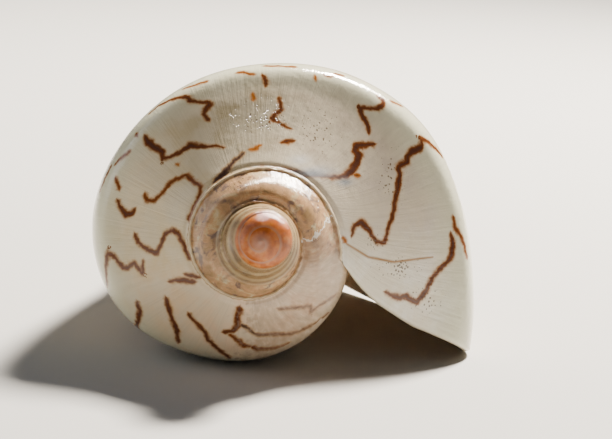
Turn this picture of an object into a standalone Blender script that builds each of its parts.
"""A noble volute seashell, Cymbiola nobilis, lying on its aperture with the spire towards -Y.

The shell is one piece that grew as one coiled tube, so it is one solid. Its skin is a sheet that
follows the coil, its wall ends at the outer lip, and the hollow behind the lip runs back up the coil.
The coil is told by turns: turn 0 is the outer lip and each whole turn back is one whorl nearer the apex.
A section is the outline of one whorl cut through the axis, as radius from the axis and height,
with the apex at height 0 and the rest of the shell below it.
"""

import functools
import math

import bmesh
import bpy
from mathutils import Matrix, Vector

MM = 0.001

# Driving dimensions of the coil. Each growth curve is a value in millimetres at some turns before the lip.
LIP_BEARING = -25.5  # degrees round the axis, seen from the apex with the aperture down
APEX_TURN = 4.5
SUTURE_RADIUS = {-1: 48, -0.5: 30, 0: 21.8, 0.1: 20.5, 0.2: 19.3, 0.35: 16.3, 0.5: 14.4, 0.6: 13.4,
                 0.75: 12.1, 1: 10.7, 1.5: 8.3, 2: 6.6, 2.5: 5.4, 3: 4.1, 3.5: 2.6, 4: 1.2, 4.5: 0, 5.5: 0}
SUTURE_HEIGHT = {-1: -36, -0.5: -28.5, 0: -23, 0.5: -18, 1: -13.8, 1.5: -10.2, 2: -6.8, 2.5: -4.2, 3: -2.3,
                 3.5: -1.0, 4: -0.25, 4.5: 0, 5.5: 0}
WIDEST_RADIUS = {0: 62.6, 0.05: 57.6, 0.1: 54.8, 0.16: 52.7, 0.22: 48.6, 0.3: 42.9, 0.36: 40.1, 0.45: 37.0,
                 0.55: 35.4, 0.65: 32.7, 0.75: 28.5, 0.85: 27, 1: 25.3, 1.5: 17.5, 2: 12, 2.5: 9}
WIDEST_HEIGHT = {0: -46, 0.25: -41, 0.5: -37.5, 0.75: -34.5, 1: -32, 1.5: -26, 2: -20, 2.5: -15}
FOOT_RADIUS = {0: 25, 0.15: 19.5, 0.3: 14.5, 0.45: 11.5, 0.6: 11, 0.8: 9.5, 1: 7.5, 1.2: 7.5, 1.45: 9.3,
               1.7: 8, 2: 7, 2.3: 6, 2.5: 6}
FOOT_HEIGHT = {0: -120, 0.04: -125.5, 0.11: -128, 0.27: -120, 0.38: -127, 0.45: -130.5, 0.6: -131, 0.8: -129,
               1: -127, 1.2: -126.5, 1.45: -130, 1.7: -107, 2: -85, 2.3: -66, 2.5: -60}
RAMP_SWELL = {0: -0.6, 0.5: -0.4, 1: 0.5, 1.5: 0.9, 2: 0.8, 3: 0.5, 4: 0.2, 4.5: 0, 5.5: 0}

# The baby shell stands up as a knob from a flatter whorl: how far the spire is raised at distances from the
# axis, down to a depth where the change fades out.
SPIRE_RISE = {0: 0, 2: 0.2, 4: 0.7, 5.5: 1.2, 6.3: 1.3, 7: 0.1, 8: -1.5, 9: -2, 10.5: -1.5, 12: -0.6,
              14.3: 0, 20: 0}
SPIRE_DEPTH = -20
SPIRE_FADE = 12
# How far the knob leans to the right and up, as seen from the apex, at heights on the axis:
LEAN_RIGHT = {-24: 0, -20: 0, -16: 0.5, -12: 1.0, -8: 1.2, -4: 1.5, 0: 0.2}
LEAN_UP = {-24: 0, -20: 0, -16: 0.2, -12: 0.6, -8: 1.4, -4: 1.8, 0: 1.2}

# How full the side of a whorl is below its widest point: the two powers of its falling curve,
# and the shares of the way down that its outline passes through.
FLANK_REACH = {0: 1.8, 0.5: 1.5, 1: 1.2, 1.5: 1.1, 2.5: 1.1}
FLANK_HOLLOW = {0: 0.9, 0.5: 1.25, 0.75: 1.6, 1: 2.2, 1.5: 3.2, 2.5: 4}
FLANK_SHARES = (0.2, 0.4, 0.6, 0.8, 0.93, 1)

# Where the ramp meets the side: the crest's place on the way from the joint to the widest point.
CREST_OUT = 0.72
CREST_DOWN = 0.33

# How far the lip's edge lags behind its bearing, in degrees, at shares of the way across it:
# 0 is at the suture, 0.5 at the joint with the next whorl and 1 at the foot.
# The columns near the lip follow its edge, and the lag has faded out LAG_FADE turns behind it.
# Right under the lip the older whorl's columns lag as well, from the suture to just past the joint.
LIP_LAG = {0: 17, 0.06: 11, 0.13: 6.2, 0.2: 3.4, 0.35: 0.9, 0.45: 0.2, 0.55: 0.6, 0.7: 0.5, 0.85: 3, 0.93: 6,
           1: 13}
LAG_FADE = 0.3
JOINT_SHARE = 0.5
UNDER_LIP_SHARE = 0.55
UNDER_LIP_FADE = 0.2

# The wall, the hollow behind the lip and the fused foot of the columella.
# Past SPIRE_TURN only the ramp of a whorl shows.
WALL = 2.0
GLAZE = 0.35
ATTACHMENT = 2.2
LINING_RISE = 2
HOLLOW_TURNS = 1.25
SPIRE_TURN = 2.35
TIP_RADIUS = 6
TIP_HEIGHT = -134
TIP_TURN = 0.6

# The four folds of the columella climb as they wind in. The fasciole is the raised band at the foot.
FOLD_HEIGHT = 2.2
FOLD_HALF_WIDTH = 2.6
FOLDS_AT_LIP = (-72, -82, -92, -102)
FOLD_CLIMB = 42
FOLDS_START = 0.97
FOLDS_FADE = 0.12
FASCIOLE_HEIGHT = 1.6
FASCIOLE_HALF_WIDTH = 6
FASCIOLE_AT = -113
FASCIOLE_TURNS = (0.45, 0.85)
FASCIOLE_FADES = (0.2, 0.12)

# Facets: columns in a turn, and rows across the ramp, down the side and round the tip.
# Rows crowd where the side bends most, at a share of the way down it: the shoulder outside,
# the folds inside.
COLUMNS = 36
RAMP_ROWS = 5
SIDE_ROWS = 26
TIP_ROWS = 3
CROWDING = 0.55
CROWDED_AT = {0: 0.2, 0.75: 0.2, 1: 0.62, 2.5: 0.62}
FOOT_ROW = RAMP_ROWS + SIDE_ROWS
LAST_ROW = FOOT_ROW + TIP_ROWS
FUSE_COLUMN = 16
HOLLOW_COLUMNS = round(HOLLOW_TURNS * COLUMNS)
APEX_COLUMN = round((APEX_TURN + 1) * COLUMNS)
SPLINE_STEPS = 10
# The middles of the flat facets, not their corners, touch the round surface.
FACET_FIT = 1 / math.cos(math.pi / COLUMNS)

# The pose at rest: the axis turned down to the foot, rolled onto the lip, and the apex's place.
PITCH = -10.97
ROLL = -2.72
APEX_PLACE = (-11.98, -65.76, 33.49)

SHELL_COLOUR = (0.60, 0.55, 0.46, 1.0)
SHELL_ROUGHNESS = 0.3


def smooth_through(stops):
    """A smooth curve of turn through the stops, as a function."""
    xs = sorted(stops)
    ys = [stops[x] for x in xs]
    steps = [b - a for a, b in zip(xs, xs[1:])]
    slopes = [(d - c) / s for c, d, s in zip(ys, ys[1:], steps)]
    middle = [
        (m * q + n * p) / (p + q)
        for m, n, p, q in zip(slopes, slopes[1:], steps, steps[1:])
    ]
    tangents = [slopes[0], *middle, slopes[-1]]

    def at(x):
        i = 0
        while i < len(steps) - 1 and x > xs[i + 1]:
            i += 1
        u = min(max((x - xs[i]) / steps[i], 0), 1)
        start = (1 + 2 * u) * (1 - u) ** 2 * ys[i] + u * (1 - u) ** 2 * steps[i] * tangents[i]
        end = u * u * (3 - 2 * u) * ys[i + 1] + u * u * (u - 1) * steps[i] * tangents[i + 1]
        return start + end

    return at


suture_radius = smooth_through(SUTURE_RADIUS)
suture_height = smooth_through(SUTURE_HEIGHT)
widest_radius = smooth_through(WIDEST_RADIUS)
widest_height = smooth_through(WIDEST_HEIGHT)
foot_radius = smooth_through(FOOT_RADIUS)
foot_height = smooth_through(FOOT_HEIGHT)
ramp_swell = smooth_through(RAMP_SWELL)
spire_rise = smooth_through(SPIRE_RISE)
lean_right = smooth_through(LEAN_RIGHT)
lean_up = smooth_through(LEAN_UP)
flank_reach = smooth_through(FLANK_REACH)
flank_hollow = smooth_through(FLANK_HOLLOW)
lip_lag = smooth_through(LIP_LAG)
crowded_at = smooth_through(CROWDED_AT)


def fade(x):
    """1 at 0 and 0 from 1 on, with soft ends."""
    x = min(max(x, 0), 1)
    return 1 - x * x * (3 - 2 * x)


def bump(distance, half_width):
    return math.exp(-((distance / half_width) ** 2))


def spline(points):
    """A smooth line through the points, and where each of them falls on it."""
    gaps = [(b - a).length ** 0.5 for a, b in zip(points, points[1:])]
    slopes = [(b - a) / g for a, b, g in zip(points, points[1:], gaps)]
    inner = [
        (m * q + n * p) / (p + q) for m, n, p, q in zip(slopes, slopes[1:], gaps, gaps[1:])
    ]
    tangents = [2 * slopes[0] - inner[0], *inner, 2 * slopes[-1] - inner[-1]]
    line = []
    for i, gap in enumerate(gaps):
        for k in range(SPLINE_STEPS):
            u = k / SPLINE_STEPS
            line.append(
                (1 + 2 * u) * (1 - u) ** 2 * points[i]
                + u * (1 - u) ** 2 * gap * tangents[i]
                + u * u * (3 - 2 * u) * points[i + 1]
                + u * u * (u - 1) * gap * tangents[i + 1]
            )
    return line + [points[-1]]


def spaced(line, shares):
    """Points on a line at the given shares of its length."""
    reach = [0.0]
    for a, b in zip(line, line[1:]):
        reach.append(reach[-1] + (b - a).length)
    found = []
    i = 0
    for share in shares:
        want = share * reach[-1]
        while i < len(line) - 2 and reach[i + 1] < want:
            i += 1
        gap = reach[i + 1] - reach[i]
        found.append(line[i].lerp(line[i + 1], (want - reach[i]) / gap if gap else 0))
    return found


def flank(turn, share):
    """A point on the side of a whorl, at a share of the way from its widest point down to its foot."""
    fall = (1 - share ** flank_reach(turn)) ** flank_hollow(turn)
    radius = foot_radius(turn) + (widest_radius(turn) - foot_radius(turn)) * fall
    return Vector((radius, widest_height(turn) + (foot_height(turn) - widest_height(turn)) * share))


def relief(turn, height):
    """How far the folds of the columella and the fasciole stand out."""
    inside = fade((FOLDS_START - turn) / FOLDS_FADE)
    folds = sum(
        bump(height - fold - FOLD_CLIMB * (turn - 1), FOLD_HALF_WIDTH) for fold in FOLDS_AT_LIP
    )
    start, end = FASCIOLE_TURNS
    outside = fade((start - turn) / FASCIOLE_FADES[0]) * fade((turn - end) / FASCIOLE_FADES[1])
    band = bump(height - FASCIOLE_AT, FASCIOLE_HALF_WIDTH)
    return FOLD_HEIGHT * inside * folds + FASCIOLE_HEIGHT * outside * band


def side_share(turn, row):
    """How far down the side a row lies, from 0 at the joint to 1 at the foot."""
    even = row / (SIDE_ROWS - 1)
    sparse = crowded_at(turn) - 0.5
    wave = math.sin(2 * math.pi * (even - sparse)) + math.sin(2 * math.pi * sparse)
    return even + CROWDING * wave / (2 * math.pi)


@functools.lru_cache(maxsize=None)
def section(turn):
    """The outer outline of a whorl: rows over the ramp to the joint, then down to the foot."""
    start = Vector((suture_radius(turn), suture_height(turn)))
    joint = Vector((suture_radius(turn - 1), suture_height(turn - 1)))
    across = joint - start
    swell = Vector((-across.y, across.x)).normalized() * ramp_swell(turn)
    middle = (start + joint) / 2 + swell
    shares = [k / RAMP_ROWS for k in range(RAMP_ROWS + 1)]
    if turn > SPIRE_TURN:
        return spaced(spline([start, middle, joint]), shares)
    widest = Vector((widest_radius(turn), widest_height(turn)))
    crest = joint + Vector(((widest - joint).x * CREST_OUT, (widest - joint).y * CREST_DOWN))
    side = [flank(turn, share) for share in FLANK_SHARES]
    line = spline([start, middle, joint, crest, widest, *side])
    joint_at = 2 * SPLINE_STEPS
    ramp = spaced(line[: joint_at + 1], shares)
    down = line[joint_at:]
    length = sum((b - a).length for a, b in zip(down, down[1:]))
    first = ATTACHMENT / length
    rows = spaced(down, [first + (1 - first) * side_share(turn, row) for row in range(SIDE_ROWS)])
    return ramp + [Vector((p.x + relief(turn, p.y), p.y)) for p in rows]


def radius_at(outline, height):
    """The radius of a falling outline at a height."""
    for a, b in zip(outline, outline[1:]):
        if b.y <= height <= a.y:
            return a.x + (b.x - a.x) * (a.y - height) / max(a.y - b.y, 1e-6)
    return outline[0].x if height > outline[0].y else outline[-1].x


@functools.lru_cache(maxsize=None)
def lining(turn):
    """The inner outline of a whorl's wall, one point for each row of its section."""
    outer = section(turn)
    inner_whorl = section(turn + 1)[RAMP_ROWS + 1 :]
    corner = inner_whorl[0] + Vector((GLAZE, 0))
    foot = inner_whorl[-1]
    offset = []
    for k, point in enumerate(outer):
        along = outer[min(k + 1, FOOT_ROW)] - outer[max(k - 1, 0)]
        offset.append(point + Vector((along.y, -along.x)).normalized() * WALL)
    fused = turn >= FUSE_COLUMN / COLUMNS
    clear = [
        p
        for p in offset
        if p.x > radius_at(inner_whorl, p.y) + GLAZE * 2
        and p.y < corner.y + LINING_RISE
        and (not fused or p.y > foot.y + WALL)
    ]
    line = [corner, *clear] + ([foot] if fused else [])
    reach = [0.0]
    for a, b in zip(outer, outer[1:]):
        reach.append(reach[-1] + (b - a).length)
    return spaced(line, [r / reach[-1] for r in reach])


def row_share(row):
    """Where a row lies across a section: 0 at the suture, 0.5 where the next whorl joins, 1 at the foot."""
    if row <= RAMP_ROWS:
        return JOINT_SHARE * row / RAMP_ROWS
    return min(JOINT_SHARE + (1 - JOINT_SHARE) * (row - RAMP_ROWS) / SIDE_ROWS, 1)


def grown(turn, share):
    """The turn that a column has reached at a share of the way across."""
    if turn < LAG_FADE:
        return turn + lip_lag(share) / 360 * fade(turn / LAG_FADE)
    near = fade((JOINT_SHARE - share) / JOINT_SHARE) * fade((share - UNDER_LIP_SHARE) / UNDER_LIP_FADE)
    return turn + lip_lag(0) / 360 * fade(abs(turn - 1) / LAG_FADE) * near


def place(turn, point):
    """A point of a section, set round the axis at its turn, in metres."""
    bearing = math.radians(LIP_BEARING + 360 * turn)
    height = point.y + spire_rise(point.x) * fade((SPIRE_DEPTH - point.y) / SPIRE_FADE)
    radius = point.x * FACET_FIT
    across = radius * math.cos(bearing) + lean_right(height)
    upward = radius * math.sin(bearing) + lean_up(height)
    return Vector((across, upward, height)) * MM


def skin_point(column, row):
    turn = column / COLUMNS
    reached = grown(turn, row_share(row))
    if row <= FOOT_ROW:
        return place(reached, section(reached)[row])
    share = (row - FOOT_ROW) / TIP_ROWS
    foot = place(reached, section(reached)[FOOT_ROW])
    tip = place(TIP_TURN, Vector((TIP_RADIUS, TIP_HEIGHT)))
    level = foot.lerp(tip, share)
    level.z = foot.z + (tip.z - foot.z) * math.sin(share * math.pi / 2)
    return level


def lining_point(column, row):
    reached = grown(column / COLUMNS, row_share(row))
    return place(reached, lining(reached)[row])


class ShellMesh:
    """The shell's vertices, each made once under the name that every patch knows it by."""

    def __init__(self):
        self.mesh = bmesh.new()
        self.points = {}

    def vertex(self, name, place_of, *where):
        if name not in self.points:
            self.points[name] = self.mesh.verts.new(place_of(*where))
        return self.points[name]

    def skin(self, column, row):
        if row == LAST_ROW:
            return self.vertex("tip", skin_point, FUSE_COLUMN, LAST_ROW)
        if column == APEX_COLUMN or (row == 0 and column >= APEX_COLUMN - COLUMNS):
            return self.vertex("apex", skin_point, APEX_COLUMN - COLUMNS, 0)
        if row == RAMP_ROWS and column >= COLUMNS:
            return self.skin(column - COLUMNS, 0)
        return self.vertex(("skin", column, row), skin_point, column, row)

    def lining(self, column, row):
        if row == 0:
            return self.skin(column + COLUMNS, RAMP_ROWS + 1)
        if row == FOOT_ROW and column >= FUSE_COLUMN:
            return self.skin(column + COLUMNS, FOOT_ROW)
        return self.vertex(("lining", column, row), lining_point, column, row)

    def face(self, *corners):
        ring = []
        for corner in corners:
            if corner not in ring:
                ring.append(corner)
        if len(ring) > 2:
            self.mesh.faces.new(ring)

    def patch(self, vertex, columns, rows, inward=False):
        """Faces between columns and rows of the skin or the lining."""
        for column in columns:
            for row in rows:
                ring = [
                    vertex(column, row),
                    vertex(column, row + 1),
                    vertex(column + 1, row + 1),
                    vertex(column + 1, row),
                ]
                self.face(*(reversed(ring) if inward else ring))


def build_shell_mesh():
    """Every patch of the shell's surface, which close on each other."""
    shell = ShellMesh()
    last_whorl = range(COLUMNS)
    shell.patch(shell.skin, last_whorl, range(FOOT_ROW))
    shell.patch(shell.skin, range(COLUMNS, APEX_COLUMN), range(RAMP_ROWS))
    hollow = range(HOLLOW_COLUMNS)
    shell.patch(shell.skin, range(COLUMNS, COLUMNS + HOLLOW_COLUMNS), range(RAMP_ROWS + 1, FOOT_ROW))
    shell.patch(shell.lining, hollow, range(FOOT_ROW), inward=True)
    shell.patch(shell.skin, range(FUSE_COLUMN, FUSE_COLUMN + COLUMNS), range(FOOT_ROW, LAST_ROW))
    close_lip(shell)
    close_foot(shell)
    close_hollow(shell)
    return shell.mesh


def close_lip(shell):
    """The edge of the outer lip, from the suture to the foot."""
    for row in range(FOOT_ROW):
        shell.face(
            shell.skin(0, row) if row else shell.skin(COLUMNS, RAMP_ROWS),
            shell.lining(0, row),
            shell.lining(0, row + 1),
            shell.skin(0, row + 1),
        )


def close_foot(shell):
    """The rim of the siphonal notch, then the step where the last growth ends on the columella's tip."""
    for column in range(FUSE_COLUMN):
        shell.face(
            shell.skin(column, FOOT_ROW),
            shell.lining(column, FOOT_ROW),
            shell.lining(column + 1, FOOT_ROW),
            shell.skin(column + 1, FOOT_ROW),
        )
    for row in range(FOOT_ROW, LAST_ROW):
        shell.face(
            shell.skin(FUSE_COLUMN, row),
            shell.skin(FUSE_COLUMN + COLUMNS, row),
            shell.skin(FUSE_COLUMN + COLUMNS, row + 1),
            shell.skin(FUSE_COLUMN, row + 1),
        )


def close_hollow(shell):
    """The blind end of the hollow, where the solid leaves off what nobody can see."""
    end = HOLLOW_COLUMNS
    wall = [shell.lining(end, row) for row in range(FOOT_ROW + 1)]
    core = [shell.skin(end + COLUMNS, row) for row in range(RAMP_ROWS + 1, FOOT_ROW + 1)]
    ring = wall + core[-2:0:-1]
    middle = shell.mesh.verts.new(sum((v.co for v in ring), Vector()) / len(ring))
    for a, b in zip(ring, ring[1:] + ring[:1]):
        shell.face(a, b, middle)


def shell_material():
    material = bpy.data.materials.new("glossy_shell")
    material.use_nodes = True
    surface = material.node_tree.nodes["Principled BSDF"]
    surface.inputs["Base Color"].default_value = SHELL_COLOUR
    surface.inputs["Roughness"].default_value = SHELL_ROUGHNESS
    surface.inputs["Metallic"].default_value = 0.0
    return material


def rest_pose():
    """From the shell's own frame, with its axis upright, to how it lies: the apex towards -Y."""
    lay_down = Matrix.Rotation(math.radians(90), 4, "X")
    pitch = Matrix.Rotation(math.radians(PITCH), 4, "X")
    roll = Matrix.Rotation(math.radians(ROLL), 4, "Y")
    return Matrix.Translation(Vector(APEX_PLACE) * MM) @ roll @ pitch @ lay_down


def wear_resting_spots(mesh):
    """Flatten what would reach just below the surface that the shell lies on."""
    for vertex in mesh.verts:
        vertex.co.z = max(vertex.co.z, 0)


def build():
    for item in list(bpy.data.objects):
        bpy.data.objects.remove(item)
    mesh = build_shell_mesh()
    mesh.transform(rest_pose())
    wear_resting_spots(mesh)
    bmesh.ops.recalc_face_normals(mesh, faces=mesh.faces)
    data = bpy.data.meshes.new("shell")
    mesh.to_mesh(data)
    mesh.free()
    data.shade_smooth()
    data.materials.append(shell_material())
    shell = bpy.data.objects.new("shell", data)
    bpy.context.scene.collection.objects.link(shell)


build()
